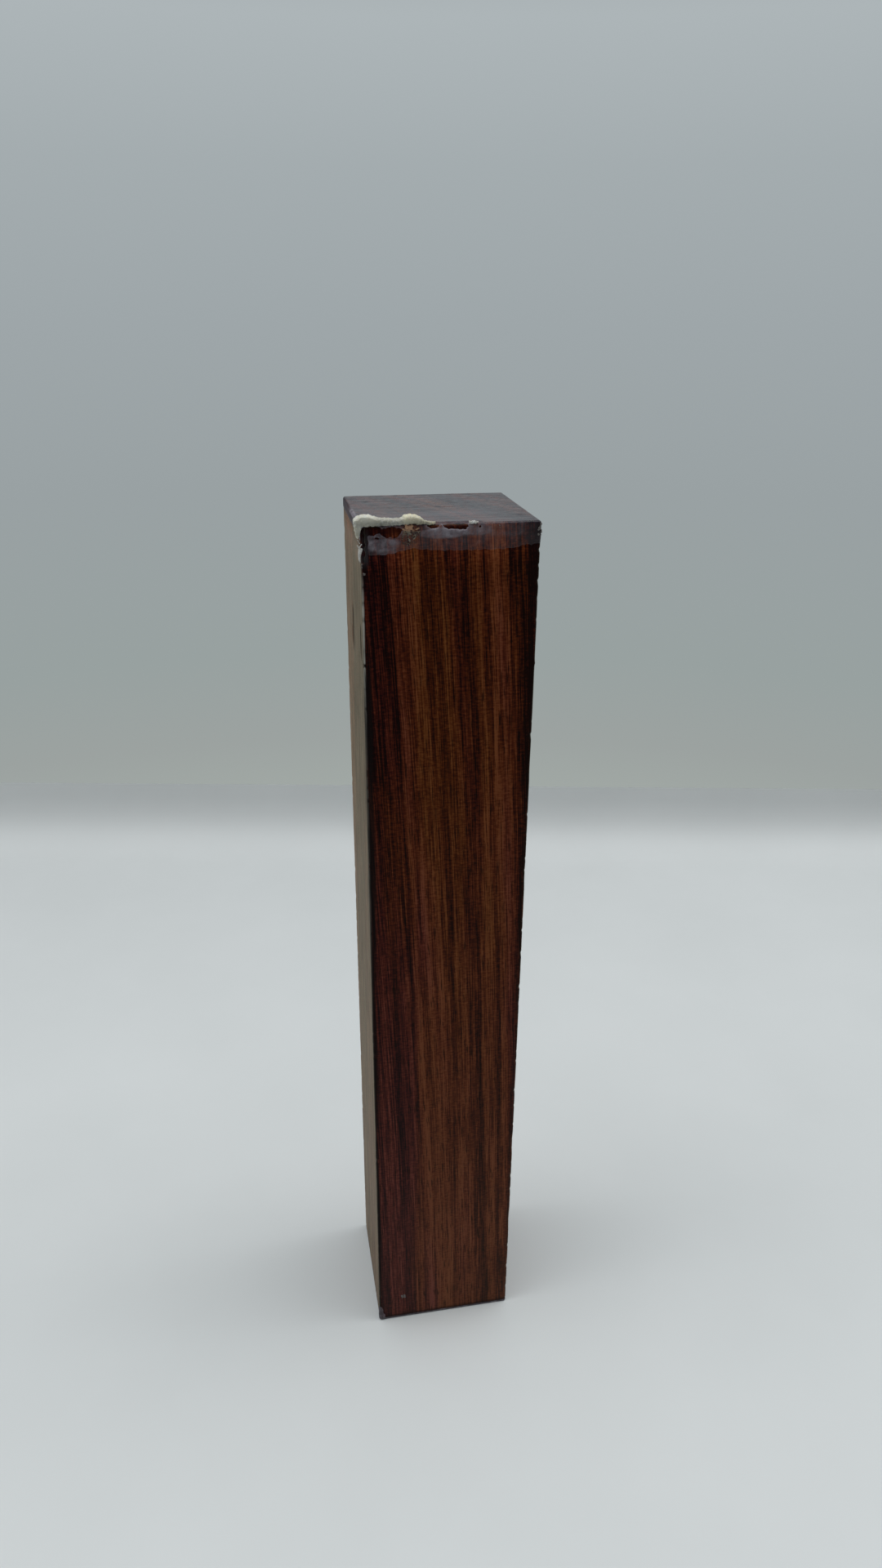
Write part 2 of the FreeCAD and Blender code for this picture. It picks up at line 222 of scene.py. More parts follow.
def rosewood_group():
    """The stick's solid texture, by place in the row frame: Colour, which holds some painted light and
    shade, Gloss (0 to 1), Relief in mm, and Dull, which is how far the cracks, the dark seam with the
    painted shadow at the foot, and the streaks take the sheen away."""
    tree = bpy.data.node_groups.new("rosewood", "ShaderNodeTree")
    for name, kind in (("Colour", "NodeSocketColor"), ("Gloss", "NodeSocketFloat"),
                       ("Relief", "NodeSocketFloat"), ("Dull", "NodeSocketFloat")):
        tree.interface.new_socket(name, in_out="OUTPUT", socket_type=kind)
    g = Graph(tree)
    _, x, y, z = g.place()

    def grain(side, waves, waves_up, detail=2.0, roughness=0.5):
        """Noise by the place across the stick given, with its waves per millimetre across and up."""
        place = g.combine(g.times(side, waves), g.times(y, waves), g.times(z, waves_up))
        return g.noise(place, detail=detail, roughness=roughness)

    down = g.minus(FILM_TOP, z)
    drift = g.times(g.times(down, DRIFT_START), g.minus(1.0, g.math("DIVIDE", down, DRIFT_REACH)))
    back = g.plus(y, HALF_Y)
    lean = g.plus(g.times(back, RING_TILT), g.times(g.times(back, back), RING_BEND))
    along = g.minus(g.plus(x, HALF_X), drift)

    # Slow waves of the grain, then finer ones, bend the stripes.
    slow = grain(along, 0.10, 0.014)
    fine = grain(along, 0.55, 0.035)
    ring = g.plus(g.plus(g.plus(along, lean), g.spread(slow, -0.45, 0.45)), g.spread(fine, -0.22, 0.22))
    span = STRIPE_TO - STRIPE_FROM
    tone = g.curve(g.fit(ring, STRIPE_FROM, STRIPE_TO),
                   [((place_mm - STRIPE_FROM) / span, tone * STRIPE_DEPTH) for place_mm, tone in STRIPES])

    # Streaks and fibres that run along the grain, each finer and shorter than the one before.
    streak = grain(along, 1.9, 0.03, detail=3.0, roughness=0.6)
    strand = grain(along, 4.6, 0.07, detail=3.0, roughness=0.6)
    fibre = grain(along, 9.0, 0.22)
    for layer, strength in ((streak, 0.22), (strand, 0.26), (fibre, 0.17)):
        tone = g.plus(tone, g.spread(layer, -strength, strength, reach=0.15))

    # Paler towards the base, which is painted light bounced up from the floor; paler still lower down in one
    # band near the left, and darker along the front's arrises.
    tone = g.plus(tone, g.fit(z, 145.0, 30.0, 0.0, 0.27))
    band = g.times(g.fit(along, 0.0, 1.5), g.fit(along, 5.0, 3.5))
    tone = g.plus(tone, g.times(band, g.fit(z, 130.0, 70.0, 0.0, 0.15)))
    left_edge = g.fit(g.plus(x, g.spread(strand, -0.3, 0.3)), -11.9, -12.3, 0.0, 0.25, smooth=True)
    right_edge = g.fit(g.plus(x, g.spread(streak, -0.5, 0.5)), 10.9, 12.2, 0.0, 0.34, smooth=True)
    low_edge = g.times(g.fit(x, 5.5, 11.0, 0.0, 0.26), g.fit(z, 100.0, 45.0))
    edges = g.plus(g.plus(left_edge, right_edge), low_edge)
    tone = g.minus(tone, g.times(edges, g.fit(y, -11.2, -11.5)))

    # Faint ripple across the grain.
    cross = grain(x, 1.1, 3.2, detail=3.0, roughness=0.6)
    tone = g.plus(tone, g.spread(cross, -0.22, 0.22), clamp=True)
    colour = g.ramp(tone, TONE_COLOURS)
    # Painted floor light: towards the base the colours blend to the greyer, more violet low colours.
    colour = g.blend("MIX", g.fit(z, 115.0, 25.0, 0.0, 0.5), colour, g.ramp(tone, LOW_COLOURS))

    # A slow change of hue: violet near the left arris, golden in the middle and most of all near the top.
    hue = g.plus(grain(along, 0.17, 0.016),
                 g.times(g.fit(along, 1.0, 6.0, -0.16, 0.07), g.fit(along, 19.0, 15.0)))
    colour = g.blend("MULTIPLY", g.fit(hue, 0.50, 0.36), colour, VIOLET_CAST)
    golden = g.times(g.fit(hue, 0.50, 0.64), g.fit(z, 50.0, 110.0, 0.3, 1.0))
    colour = g.blend("MULTIPLY", golden, colour, GOLDEN_CAST)

    # Painted shade in the chip under the bead, a near-black grey, and pores: short dark vessel lines along
    # the grain.
    broken = g.times(g.fit(g.plus(x, g.spread(fine, -0.25, 0.25)), -11.15, -11.5),
                     g.times(g.fit(z, 146.3, 147.6), g.fit(y, -10.9, -11.2)))
    colour = g.blend("MIX", g.times(broken, 0.92), colour, CHIP_SHADE_COLOUR)
    pore = g.fit(grain(along, 5.2, 0.28, detail=1.0), 0.60, 0.68)
    colour = g.blend("MIX", g.times(pore, 0.75), colour, PORE_COLOUR)

    # A pale line down the front left arris, part painted highlight on its rounding and part wax residue;
    # lower down the arris is dark, and so is the foot, with painted contact shadow.
    corner = g.plus(g.plus(x, HALF_X), g.plus(y, HALF_Y))
    glint_and_wax = g.times(g.fit(corner, 0.36, 0.26), g.fit(streak, 0.30, 0.46))
    glint_and_wax = g.times(glint_and_wax, g.times(g.fit(z, 78.0, 95.0), g.fit(z, 146.0, 141.0)))
    glint_and_wax = g.times(glint_and_wax, g.fit(z, 122.0, 134.0, 0.25, 0.85))
    colour = g.blend("MIX", glint_and_wax, colour, GLINT_AND_WAX_COLOUR)
    width = g.times(g.fit(z, 55.0, 95.0, 0.45, 0.85), g.spread(fine, 0.7, 1.2))
    seam_and_foot_shade = g.times(g.fit(g.minus(corner, width), 0.25, -0.05), g.fit(z, 140.0, 128.0))
    # Painted contact shadow along the foot, its lowest 1.3 mm.
    seam_and_foot_shade = g.larger(g.times(seam_and_foot_shade, g.minus(1.0, glint_and_wax)), g.fit(z, 1.3, 0.6))
    colour = g.blend("MIX", g.times(seam_and_foot_shade, 0.85), colour, SEAM_AND_FOOT_SHADE_COLOUR)

    # The left side: pale tan streaks painted on as its sheen, and its cracks, painted near black with the
    # shade inside them.
    left_side = g.fit(x, -12.3, -12.45)
    left_sheen = g.times(g.times(left_side, g.fit(streak, 0.36, 0.64, 0.08, 0.40)), g.fit(z, 149.8, 148.6))
    colour = g.blend("MIX", left_sheen, colour, LEFT_SHEEN_COLOUR)
    crack = 0.0
    for crack_y, low, high, _ in CRACKS:
        half = (high - low) / 2
        off_line = g.distance(g.plus(y, g.spread(fine, -0.15, 0.15)), crack_y)
        ends = g.fit(g.distance(z, (low + high) / 2), half, half - 1.2)
        crack = g.larger(crack, g.times(g.fit(off_line, 0.6, 0.35), ends))
    crack = g.times(crack, g.fit(x, -11.9, -12.1))
    # Painted shade: the cracks near black.
    colour = g.blend("MIX", g.times(crack, 0.85), colour, CRACK_SHADE_COLOUR)

    relief = g.plus(g.minus(g.times(strand, 0.02), g.times(pore, 0.03)), g.times(fibre, 0.008))
    streaky = g.plus(g.fit(streak, 0.36, 0.64, 0.36, -0.20), g.fit(z, 60.0, 30.0, 0.0, 0.12))
    dull = g.larger(g.larger(crack, g.times(seam_and_foot_shade, 0.7)), g.times(streaky, left_side))
    out = g.node("NodeGroupOutput")
    for name, value in (("Colour", colour), ("Gloss", g.spread(strand, 0.35, 0.65)), ("Relief", relief),
                        ("Dull", dull)):
        g.feed(out.inputs[name], value)
    return tree


def use_rosewood(graph):
    made = graph.node("ShaderNodeGroup")
    made.node_tree = ROSEWOOD
    return made.outputs


def rosewood_material():
    """The bare wood: darker where wax has soaked in under the top's openings, richer near the film."""
    material, g, shader = new_material("rosewood")
    wood = use_rosewood(g)
    _, _, _, z = g.place()
    soaked = g.fit(z, 150.8, 151.6, 0.0, 0.55, smooth=True)
    oiled = g.times(g.fit(z, 146.2, 148.5), g.fit(z, 150.8, 149.5))
    colour = g.blend("MULTIPLY", oiled, wood["Colour"], (1.45, 1.40, 1.55, 1.0))
    g.feed(shader.inputs["Base Color"], g.blend("MIX", soaked, colour, (0.020, 0.0025, 0.0025, 1.0)))
    g.feed(shader.inputs["Roughness"], g.fit(wood["Gloss"], 0.0, 1.0, 0.58, 0.42))
    g.feed(shader.inputs["Sheen Weight"], g.fit(wood["Dull"], 0.0, 1.0, 0.28, 0.0))
    shader.inputs["Specular IOR Level"].default_value = 0.02
    shader.inputs["Sheen Roughness"].default_value = 0.4
    shader.inputs["Sheen Tint"].default_value = (0.9, 0.79, 0.52, 1.0)
    g.feed(shader.inputs["Normal"], g.bump(wood["Relief"], 1.0, 0.6))
    return material


def film_material():
    """A thin layer of wax over the rosewood: the wood shows through a milky veil, thicker in places."""
    material, g, shader = new_material("wax_film")
    wood = use_rosewood(g)
    place, x, y, z = g.place()
    veil = g.node("ShaderNodeAttribute", attribute_name="veil", attribute_type="GEOMETRY").outputs["Fac"]
    cloud = g.noise(place, scale=900.0, detail=4.0, roughness=0.6)
    veil = g.times(veil, g.spread(cloud, 0.58, 1.36), clamp=True)
    milk = g.ramp(cloud, [(0.35, (0.13, 0.108, 0.128)), (0.65, (0.22, 0.195, 0.218))])
    end = g.larger(g.fit(z, TOP - 0.1, TOP + 0.15), g.fit(z, BASE + 0.1, BASE - 0.15))
    side = g.fit(x, -12.3, -12.45)
    wet = g.blend("MULTIPLY", 1.0, wood["Colour"], (1.35, 1.25, 1.35, 1.0))
    # Under the wax the end grain and the left side are darker, turned to a blue-grey whose blue is a painted
    # reflection of the pale room.
    darker = g.larger(g.times(end, 0.60), g.times(side, 0.72))
    under = g.blend("MIX", darker, wet, (0.012, 0.015, 0.025, 1.0))
    g.feed(shader.inputs["Base Color"], g.blend("MIX", veil, under, milk))
    g.feed(shader.inputs["Roughness"], g.plus(g.spread(cloud, 0.16, 0.30), g.times(side, 0.25)))
    # The end is a little duller towards the back and at its corners, where the wax is thinner.
    duller = g.plus(g.fit(y, -4.0, 11.5, 0.0, 0.18), g.fit(g.math("ABSOLUTE", x), 7.0, 12.0, 0.0, 0.16))
    shine = g.minus(1.0, g.times(duller, end))
    g.feed(shader.inputs["Specular IOR Level"], g.times(shine, g.fit(side, 0.0, 1.0, 0.24, 0.08)))
    g.feed(shader.inputs["Normal"], g.bump(g.noise(place, scale=700.0, detail=3.0), 0.07, 0.5))
    return material


def cream_material():
    """Thick wax: opaque cream, yellower in the hollows, whiter on the high spots and crest where a highlight
    is painted, darker low down and in its hollows with painted shade, faintly grainy.
    """
    material, g, shader = new_material("cream_wax")
    place, x, _, z = g.place()
    pointed = g.node("ShaderNodeNewGeometry").outputs["Pointiness"]
    cloud = g.noise(place, scale=450.0, detail=4.0, roughness=0.65)
    grain = g.noise(place, scale=5000.0, detail=3.0, roughness=0.7)
    colour = g.ramp(cloud, [(0.3, (0.36, 0.335, 0.26)), (0.5, (0.47, 0.455, 0.39)),
                            (0.7, (0.58, 0.58, 0.53))])
    # Painted highlight on its crest and ridges and painted shade low on its sides and in its hollows,
    # deepest in the low stretch between its two humps; the run below it is brighter.
    waist = g.times(g.fit(x, -10.9, -10.2), g.fit(x, -6.6, -7.2))
    light_and_shade = g.times(g.fit(pointed, 0.42, 0.56, 0.72, 1.12), g.fit(z, 152.6, 153.3, 0.80, 1.34))
    light_and_shade = g.times(light_and_shade, g.fit(waist, 0.0, 1.0, 1.0, 0.74))
    light_and_shade = g.times(light_and_shade, g.fit(z, 152.6, 152.0, 1.0, 1.22))
    colour = g.blend("MULTIPLY", 1.0, colour, g.grey(light_and_shade))
    yellowed = g.times(g.fit(x, -7.0, -6.4), g.fit(cloud, 0.35, 0.6, 0.4, 1.0))
    g.feed(shader.inputs["Base Color"], g.blend("MULTIPLY", yellowed, colour, (1.0, 0.95, 0.80, 1.0)))
    g.feed(shader.inputs["Roughness"], g.spread(grain, 0.42, 0.62))
    shader.inputs["Subsurface Weight"].default_value = 0.25
    shader.inputs["Subsurface Radius"].default_value = (0.0009, 0.0007, 0.0004)
    shader.inputs["Subsurface Scale"].default_value = 1.0
    shader.inputs["Specular IOR Level"].default_value = 0.4
    g.feed(shader.inputs["Normal"], g.bump(grain, 0.05, 0.7))
    return material


def fleck_material():
    """Thin flakes of the wax: paler and greyer than the thick bead, darker where they are thinnest."""
    material, g, shader = new_material("fleck_wax")
    place, x, _, z = g.place()
    cloud = g.noise(place, scale=1500.0, detail=4.0, roughness=0.65)
    colour = g.ramp(cloud, [(0.32, (0.20, 0.17, 0.14)), (0.5, (0.52, 0.50, 0.46)),
                            (0.68, (0.75, 0.75, 0.72))])
    thin = g.times(g.larger(g.fit(x, 4.5, 5.5), g.fit(z, 147.4, 147.0)), 0.88)
    g.feed(shader.inputs["Base Color"], g.blend("MIX", thin, colour, (0.060, 0.045, 0.040, 1.0)))
    g.feed(shader.inputs["Roughness"], g.spread(cloud, 0.35, 0.6))
    shader.inputs["Specular IOR Level"].default_value = 0.4
    g.feed(shader.inputs["Normal"], g.bump(cloud, 0.05, 0.6))
    return material


def sawdust_material():
    """Crumbs of dark, brown and green-grey dust, with orange ones at the top."""
    material, g, shader = new_material("sawdust")
    place, _, _, z = g.place()
    cell = g.node("ShaderNodeTexVoronoi", {"Vector": place, "Scale": 2200.0}).outputs["Color"]
    pick = g.node("ShaderNodeSeparateColor", {0: cell}).outputs[0]
    colour = g.ramp(pick, [(0.1, (0.03, 0.015, 0.010)), (0.4, (0.10, 0.055, 0.035)),
                           (0.6, (0.13, 0.105, 0.07)), (0.9, (0.21, 0.18, 0.14))])
    upper = g.fit(z, 151.35, 151.75, 0.0, 0.8)
    g.feed(shader.inputs["Base Color"], g.blend("MIX", upper, colour, (0.50, 0.27, 0.15, 1.0)))
    grain = g.noise(place, scale=6000.0, detail=3.0)
    g.feed(shader.inputs["Roughness"], g.spread(grain, 0.5, 0.8))
    g.feed(shader.inputs["Normal"], g.bump(grain, 0.04, 0.8))
    return material


# ---- mesh helpers -------------------------------------------------------------------------------------

def new_piece(name, points, faces, material, replaced):
    """A smooth mesh object from points in millimetres; it rides on the one body and hides the CAD parts it
    replaces.
    """
    mesh = bpy.data.meshes.new(name)
    mesh.from_pydata([Vector(p) * MM for p in points], [], [tuple(face) for face in faces])
    mesh.validate()
    mesh.polygons.foreach_set("use_smooth", [True] * len(mesh.polygons))
    mesh.materials.append(material)
    piece = bpy.data.objects.new(name, mesh)
    bpy.context.scene.collection.objects.link(piece)
    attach(piece, "root")
    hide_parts(*replaced)
    return piece


def arris_insets(radius):
    """How far in from the arris its four grid lines lie, which round_off then turns 15 degrees apart."""
    return [radius * (1 - math.tan(math.radians(angle))) for angle in (0, 15, 30, 45)]


def grid_lines(half, radius, steps):
    """Places across a side, from -half to half: arcs of four lines at both arrises, even lines between."""
    arc = [half - inset for inset in arris_insets(radius)]
    inner = np.linspace(-(half - radius), half - radius, steps + 1)
    return np.array([-place for place in reversed(arc)] + list(inner[1:-1]) + arc)


def box_surface(xs, ys, zs, sides):
    """Points and outward quads of a box's surface on the given grid lines. sides picks from xXyYzZ, where
    a small letter is the low side."""
    ids, points, quads = {}, [], []

    def corner(i, j, k):
        key = (i, j, k)
        if key not in ids:
            ids[key] = len(points)
            points.append((xs[i], ys[j], zs[k]))
        return ids[key]

    last_x, last_y, last_z = len(xs) - 1, len(ys) - 1, len(zs) - 1
    for side in sides:
        axis = side.lower()
        high = side.isupper()
        spans = {"x": (last_y, last_z), "y": (last_x, last_z), "z": (last_x, last_y)}[axis]
        fixed = {"x": last_x, "y": last_y, "z": last_z}[axis] if high else 0
        for a in range(spans[0]):
            for b in range(spans[1]):
                around = [(a, b), (a + 1, b), (a + 1, b + 1), (a, b + 1)]
                if axis == "x":
                    ring = [corner(fixed, p, q) for p, q in around]
                elif axis == "y":
                    ring = [corner(p, fixed, q) for p, q in around]
                else:
                    ring = [corner(p, q, fixed) for p, q in around]
                outward = high if axis != "y" else not high
                quads.append(ring if outward else ring[::-1])
    return np.array(points), quads


def round_off(points, low, high, radius):
    """Bend a box's surface round its arrises. Returns the points and their outward normals."""
    inner = np.clip(points, np.array(low) + radius, np.array(high) - radius)
    away = points - inner
    normals = away / np.linalg.norm(away, axis=1, keepdims=True)
    return inner + normals * radius, normals


def ripple(point, scale, seed=0.0):
    """Smooth noise between about -1 and 1; scale is in waves per millimetre along each axis."""
    x, y, z = (place * waves for place, waves in zip(point, scale))
    return noise.noise(Vector((x + seed, y - seed, z)))


def smoothstep(low, high, value):
    share = min(max((value - low) / (high - low), 0.0), 1.0)
    return share * share * (3 - 2 * share)


# ---- the stick ----------------------------------------------------------------------------------------

CHIP_DROP, CHIP_DEPTH = 5.6, 0.95           # the broken front left arris: how far down and how deep
NIBS = [(HALF_X, -HALF_Y, 132.0), (-0.3, HALF_Y, TOP - 0.1)]        # torn fibres that stand proud
NIB_HEIGHT, NIB_WIDTH = 0.13, 0.28


def crack_depth(point):
    """How deep the short cracks high on the left side are at a point, in millimetres."""
    if point[0] > -HALF_X + 0.05:
        return 0.0
    depth = 0.0
    for crack_y, low, high, deep in CRACKS:
        reach = 1.0 - ((2 * point[2] - low - high) / (high - low)) ** 2
        if reach > 0.0:
            depth = max(depth, deep * reach * (1.0 - smoothstep(0.1, 0.45, abs(point[1] - crack_y))))
    return depth


def arris_wear(point):
    """How far the wood is worn away at a point, towards the middle of the stick, in millimetres."""
    x, y, z = point
    beside = max(HALF_X - abs(x), HALF_Y - abs(y))      # distance from the nearest arris along the faces
    near = 1.0 - smoothstep(0.0, 0.7, beside)
    if near <= 0.0:
        return 0.0
    side = 7.0 * (x > 0) + 13.0 * (y > 0)
    nick = max(0.0, noise.noise(Vector((side, z * 0.9, 0.0))) - 0.18) * 0.45
    bruise = max(0.0, noise.noise(Vector((side, z * 0.16, 5.0))) - 0.1) * 0.22
    wear = nick + bruise
    if x < 0 and y < 0:
        drop = TOP - z
        jag = 0.75 + 0.5 * noise.noise(Vector((z * 1.7, 3.0, 0.0)))
        wear += CHIP_DEPTH * jag * (1.0 - smoothstep(0.7 * CHIP_DROP, CHIP_DROP, drop))
    return min(wear, CHIP_DEPTH) * near


def make_stick():
    xs = grid_lines(HALF_X, ARRIS, 50)
    ys = grid_lines(HALF_Y, ARRIS, 47)
    zs = grid_lines((TOP - BASE) / 2, ARRIS, 350) + (TOP + BASE) / 2
    points, quads = box_surface(xs, ys, zs, "xXyYzZ")
    points, normals = round_off(points, wood_low, wood_high, ARRIS)
    for i, point in enumerate(points):
        planed = 0.012 * ripple(point, (0.12, 0.12, 0.9)) + 0.01 * ripple(point, (0.8, 0.8, 0.05), 4.0)
        light_and_shade = arris_wear(point) + crack_depth(point)
        for nib in NIBS:
            off_nib = (Vector(point) - Vector(nib)).length
            point += normals[i] * NIB_HEIGHT * math.exp(-(off_nib / NIB_WIDTH) ** 2)
        point -= normals[i] * max(0.0, 0.012 + planed)
        inward = Vector((-point[0] / HALF_X, -point[1] / HALF_Y, 0.0)).normalized()
        point += np.array(inward) * light_and_shade
    return new_piece("rosewood_stick", points, quads, MATERIALS["rosewood"], ["wood_block"])


# ---- wax skins ----------------------------------------------------------------------------------------

def clip_faces(points, faces, field):
    """Cut faces along field = 0 and keep the part above. Returns points, faces and where each point came
    from: the two corners and the share between them."""
    kept, source, ids = [], [], {}

    def keep(a, b, share):
        key = (a, b) if share > 0 else (a, a)
        if key not in ids:
            ids[key] = len(source)
            source.append((a, b, share))
        return ids[key]

    for face in faces:
        ring = []
        for a, b in zip(face, face[1:] + face[:1]):
            if field[a] > 0:
                ring.append(keep(a, a, 0.0))
            if (field[a] > 0) != (field[b] > 0):
                low, high = min(a, b), max(a, b)
                share = field[low] / (field[low] - field[high])
                ring.append(keep(low, high, min(max(share, 0.02), 0.98)))
        if len(ring) >= 3:
            kept.append(ring)
    first, second, share = (np.array(column) for column in zip(*source))
    share = share[:, None]
    return points[first] * (1 - share) + points[second] * share, kept, (first, second, share[:, 0])


def make_skin(name, points, normals, faces, field, thickness, veil, rim, material, replaced):
    """A closed thin skin over the faces where field > 0, thinning to its rim. The thickness, the milky
    veil and how much paler the rim is are given for each point."""
    outer, kept, (first, second, share) = clip_faces(points, faces, field)

    def carry(values):
        return values[first] * (1 - share) + values[second] * share

    inside = np.maximum(carry(field), 0.0)
    lean = np.stack([carry(normals[:, axis]) for axis in range(3)], axis=1)
    lean /= np.linalg.norm(lean, axis=1, keepdims=True)
    crisp = np.clip(carry(rim) / 0.3, 0.0, 1.0)
    rise = np.clip(inside / (0.9 - 0.6 * crisp), 0.0, 1.0)
    rise = 0.2 + 0.8 * (crisp * np.sqrt(rise * (2 - rise)) + (1 - crisp) * rise * rise * (3 - 2 * rise))
    count = len(outer)
    both = np.concatenate([outer + lean * (carry(thickness) * rise)[:, None], outer - lean * 0.04])
    shell = kept + [[corner + count for corner in reversed(face)] for face in kept]
    edges = {}
    for face in kept:
        for a, b in zip(face, face[1:] + face[:1]):
            edges[(a, b)] = edges.get((a, b), 0) + 1
    shell += [[b, a, a + count, b + count] for a, b in edges if (b, a) not in edges]
    skin = new_piece(name, both, shell, material, replaced)
    layer = skin.data.attributes.new("veil", "FLOAT", "POINT")
    amount = np.clip(carry(veil) + carry(rim) * np.exp(-inside / 0.14), 0.0, 1.0)
    layer.data.foreach_set("value", np.concatenate([amount, amount]))
    return skin


def oval(x, z, centre_x, centre_z, half_x, half_z):
    """0 at an upright oval's middle, 1 on its outline."""
    return math.hypot((x - centre_x) / half_x, (z - centre_z) / half_z)


# The top wax's lower edge: x and z on the front face, then y and z on the left side.
FRONT_EDGE = [(-12.7, 148.9), (-12.3, 148.5), (-9.9, 148.3), (-8.2, 148.5), (-7.1, 148.8), (-5.4, 149.1),
              (-2.6, 148.8), (0.8, 148.7), (4.2, 148.7), (7.7, 148.7), (10.0, 149.1), (12.7, 149.3)]
LEFT_EDGE = [(-11.8, 150.2), (-6.0, 150.6), (0.0, 150.6), (9.8, 150.7), (11.8, 150.9)]
# Flaked openings under the front edge of the top: middle x and z, and half the width and height.
OPENINGS = [(-10.95, 151.8, 1.2, 0.8), (-8.35, 151.4, 1.4, 0.8), (-10.2, 150.55, 0.38, 0.2),
            (-2.6, 152.2, 0.9, 0.42), (0.6, 152.1, 1.9, 0.6), (3.9, 151.85, 0.22, 0.3)]
# Milky patches of the top's wax on the front face: middle x and z, half sizes, amount.
MILKY = [(-9.5, 149.7, 2.3, 0.95, 0.33), (-7.9, 150.05, 0.95, 0.45, 0.32), (-10.6, 150.95, 1.15, 0.33, 0.30),
         (-9.0, 148.75, 1.5, 0.55, 0.26), (-11.2, 149.8, 0.7, 1.0, 0.24), (-1.1, 151.1, 3.5, 0.75, 0.62),
         (3.5, 151.4, 2.3, 0.8, 0.28), (7.6, 151.4, 3.6, 1.1, 0.10)]
BACK_EDGE = 148.9                           # the lower edge's height on the back and the right side
CHIPPED = (-11.55, -11.2, 152.0)            # the broken corner has no film left of, before and below these


def polyline(stops, value):
    return float(np.interp(value, [stop[0] for stop in stops], [stop[1] for stop in stops]))


def top_field(point):
    """Distance in mm inside the top wax's outline: negative on bare wood."""
    x, y, z = point
    ending = z > TOP - 0.05
    front, left = y < -HALF_Y + (1.3 if ending else 0.35), x < -HALF_X + 0.35
    jag = 0.10 * ripple(point, (1.6, 1.6, 1.6)) + 0.05 * ripple(point, (5.0, 5.0, 5.0), 3.0)
    if ending:
        edge = z - 1.0                                  # the whole end is covered
    elif front:
        edge = polyline(FRONT_EDGE, x)
    elif left:
        edge = polyline(LEFT_EDGE, y)
    else:
        edge = BACK_EDGE + 0.5 * ripple(point, (0.25, 0.25, 0.0), 9.0)
    inside = z - edge + 1.6 * jag
    if front:
        height = z + max(0.0, y + HALF_Y)               # carried on over the arris
        for centre_x, centre_z, half_x, half_z in OPENINGS:
            out = (oval(x, height, centre_x, centre_z, half_x, half_z) - 1.0) * min(half_x, half_z)
            inside = min(inside, out + 1.8 * jag)
    off_chip = max(x - CHIPPED[0] + 3 * jag, y - CHIPPED[1] + 2 * jag, z - CHIPPED[2])
    return min(inside, off_chip)


def pale_arris(point):
    """The milky line of thick wax along the top end's left arris, behind the bead."""
    x, y, z = point
    off_arris = max(abs(x + HALF_X), abs(z - TOP))
    return 0.95 * (1.0 - smoothstep(0.18, 0.40, off_arris)) * smoothstep(4.0, -1.0, y)


def top_veil(point):
    """How milky the top's wax is at a point, from 0 to 1."""
    x, y, z = point
    if z > TOP - 0.05:
        towards_front = smoothstep(3.0, -9.0, y) * smoothstep(12.0, 6.0, x)
        veil = 0.03 + 0.21 * towards_front + 0.12 * ripple(point, (0.10, 0.30, 0.3), 2.0)
        return max(0.0, veil) + pale_arris(point)
    if y > -HALF_Y + 0.35:
        return 0.06 + pale_arris(point)
    veil = (0.06 + 0.09 * smoothstep(148.6, 150.4, z)) * (1.0 - 0.5 * smoothstep(5.0, 11.5, x))
    for centre_x, centre_z, half_x, half_z, amount in MILKY:
        veil += amount * (1.0 - smoothstep(0.72, 1.12, oval(x, z, centre_x, centre_z, half_x, half_z)))
    return min(veil, 0.9)


def make_top_skin():
    xs = grid_lines(HALF_X, ARRIS, 190)
    ys = grid_lines(HALF_Y, ARRIS, 90)
    zs = np.array(list(np.arange(147.6, TOP - ARRIS, 0.13)) + [TOP - inset for inset in arris_insets(ARRIS)])
    flat, quads = box_surface(xs, ys, zs, "xXyYZ")
    points, normals = round_off(flat, (-HALF_X, -HALF_Y, -999.0), (HALF_X, HALF_Y, TOP), ARRIS)
    field = np.array([top_field(point) for point in points])
    veil = np.array([top_veil(point) for point in points])
    lumps = np.array([ripple(point, (0.7, 0.7, 0.7), 6.0) for point in points])
    up = np.clip(normals[:, 2], 0.0, 1.0) ** 2
    thickness = 0.045 + 0.015 * lumps + 0.16 * np.clip(veil - 0.1, 0.0, 1.0) * (1.0 - up)
    saw = np.array([ripple(point, (0.10, 1.3, 0.1), 2.0) for point in points])
    thickness += up * (FILM_TOP - TOP - 0.09 + 0.02 * saw)
    # The rim is palest and crispest on the left side, then round the openings.
    rim = np.array([0.8 if p[0] < -HALF_X + 0.3 else 0.45 if p[1] < -HALF_Y + 0.35 and p[2] > 150.7 else 0.03
                    for p in points])
    return make_skin("top_wax_skin", points, normals, quads, field, thickness, veil, rim,
                     MATERIALS["wax_film"], ["top_end_wax"])


SMEAR_HEIGHT = 3.1                          # how far the wax climbs the front left arris


def base_field(point):
    """Distance in mm inside the base wax's outline, which climbs the front left arris."""
    x, y, z = point
    if z < BASE + 0.05:
        return 1.0
    jag = 0.10 * ripple(point, (1.3, 1.3, 1.3), 5.0) + 0.05 * ripple(point, (4.0, 4.0, 4.0), 8.0)
    corner = max(x + HALF_X, y + HALF_Y)                # distance from the front left arris
    climb = SMEAR_HEIGHT * (1.0 - smoothstep(0.35, 1.15, corner + 3 * jag))
    return 0.42 + climb + 2 * jag - z


